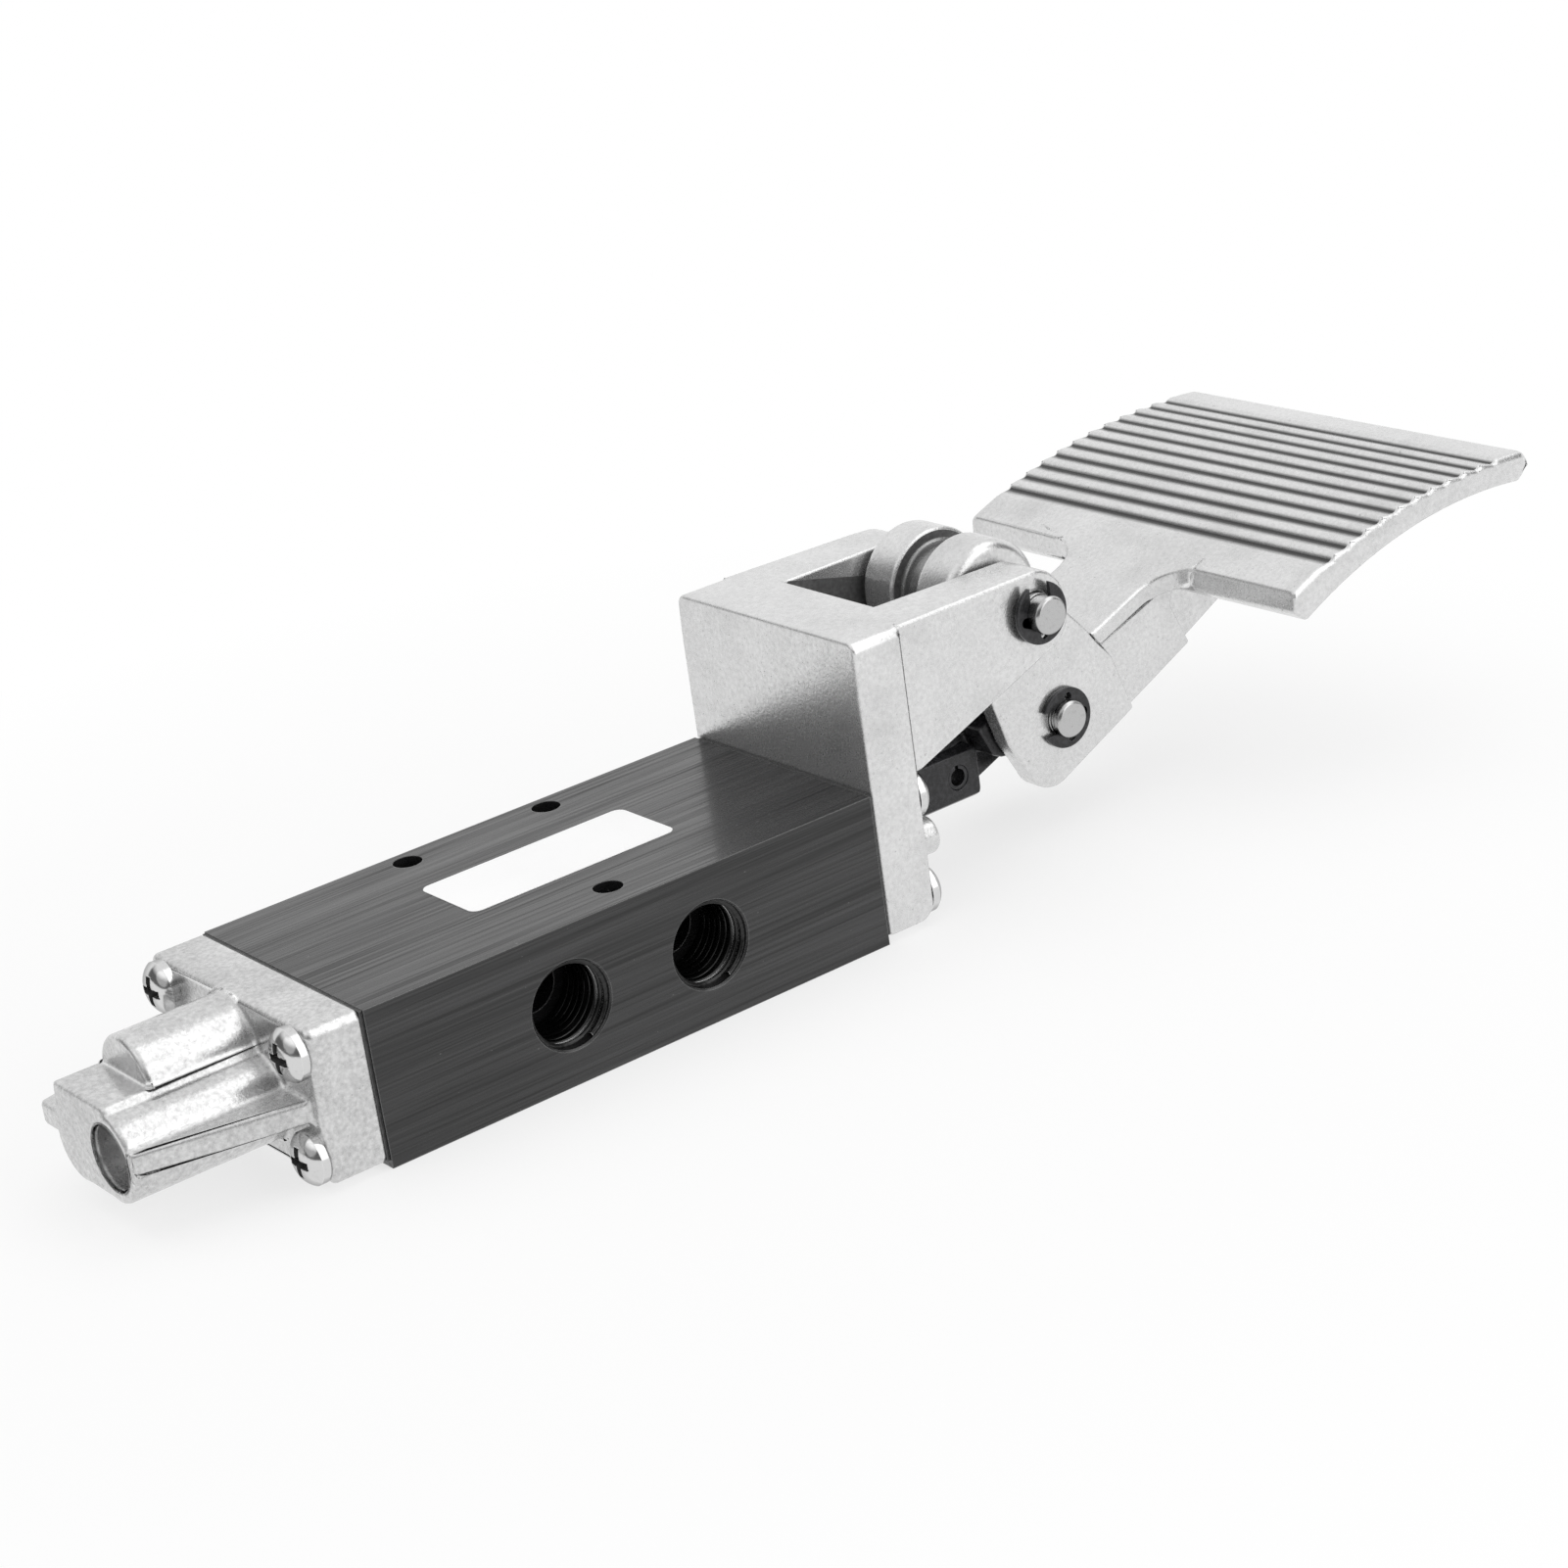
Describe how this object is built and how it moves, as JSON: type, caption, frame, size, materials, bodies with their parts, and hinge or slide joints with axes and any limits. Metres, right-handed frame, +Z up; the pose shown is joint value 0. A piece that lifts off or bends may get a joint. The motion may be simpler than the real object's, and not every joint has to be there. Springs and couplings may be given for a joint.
{
  "type": "foot pedal air valve",
  "caption": "Foot-operated spool valve for compressed air: a hinged ribbed pedal drives the spool through a crank and link, and a spring returns it.",
  "frame": {"origin": "centre of the valve block's underside, on the face it rests on", "axes": "+X along the spool from the spring end towards the pedal, +Z up from the mounting face, +Y across the block towards the three-port side"},
  "size_m": [0.2495, 0.0764, 0.0506],
  "materials": {
    "body": "black anodised, brushed along its length",
    "casting": "bright satin die casting with polished edges",
    "fastener": "bright nickel plated",
    "black_steel": "black oxide",
    "spring": "bright drawn wire",
    "bush": "turned",
    "gasket": "matt",
    "seal": "matt"
  },
  "bodies": {
    "valve": {"valve_body": "body", "front_end_cap": "casting", "front_gasket": "gasket", "front_cap_screws": "fastener", "lever_bracket": "casting", "bracket_gasket": "gasket", "bracket_screws": "fastener", "rear_guide_bush": "bush", "bush_seal": "seal", "rod_wiper": "seal", "fulcrum_pin": "fastener", "fulcrum_clips": "black_steel"},
    "spool": {"spool": "black_steel", "spool_seals": "seal", "spring_seat": "bush", "return_spring": "spring", "roll_pin": "fastener"},
    "lever": {"pedal_lever": "casting", "link_pin": "fastener", "link_pin_clips": "black_steel"},
    "link": {"link": "black_steel"}
  },
  "joints": [
    {"name": "pedal_hinge", "type": "hinge", "parent": "valve", "child": "lever", "pos_m": [0.081, 0, 0.0412], "axis": [0, 1, 0], "range_deg": [0, 13], "stiffness_Nm_per_rad": 1.4, "springref_deg": -20.05},
    {"name": "spool_slide", "type": "slide", "parent": "valve", "child": "spool", "axis": [-1, 0, 0], "range_m": [0, 0.0062], "deforming": ["return_spring"]},
    {"name": "link_pivot", "type": "hinge", "parent": "lever", "child": "link", "pos_m": [0.09219, 0, 0.01827], "axis": [0, 1, 0], "range_deg": [-6.5, 0]}
  ],
  "couplings": [
    {"joint": "spool_slide", "follows": "pedal_hinge", "m_per_rad": 0.0267},
    {"joint": "link_pivot", "follows": "pedal_hinge", "ratio": -0.468}
  ]
}
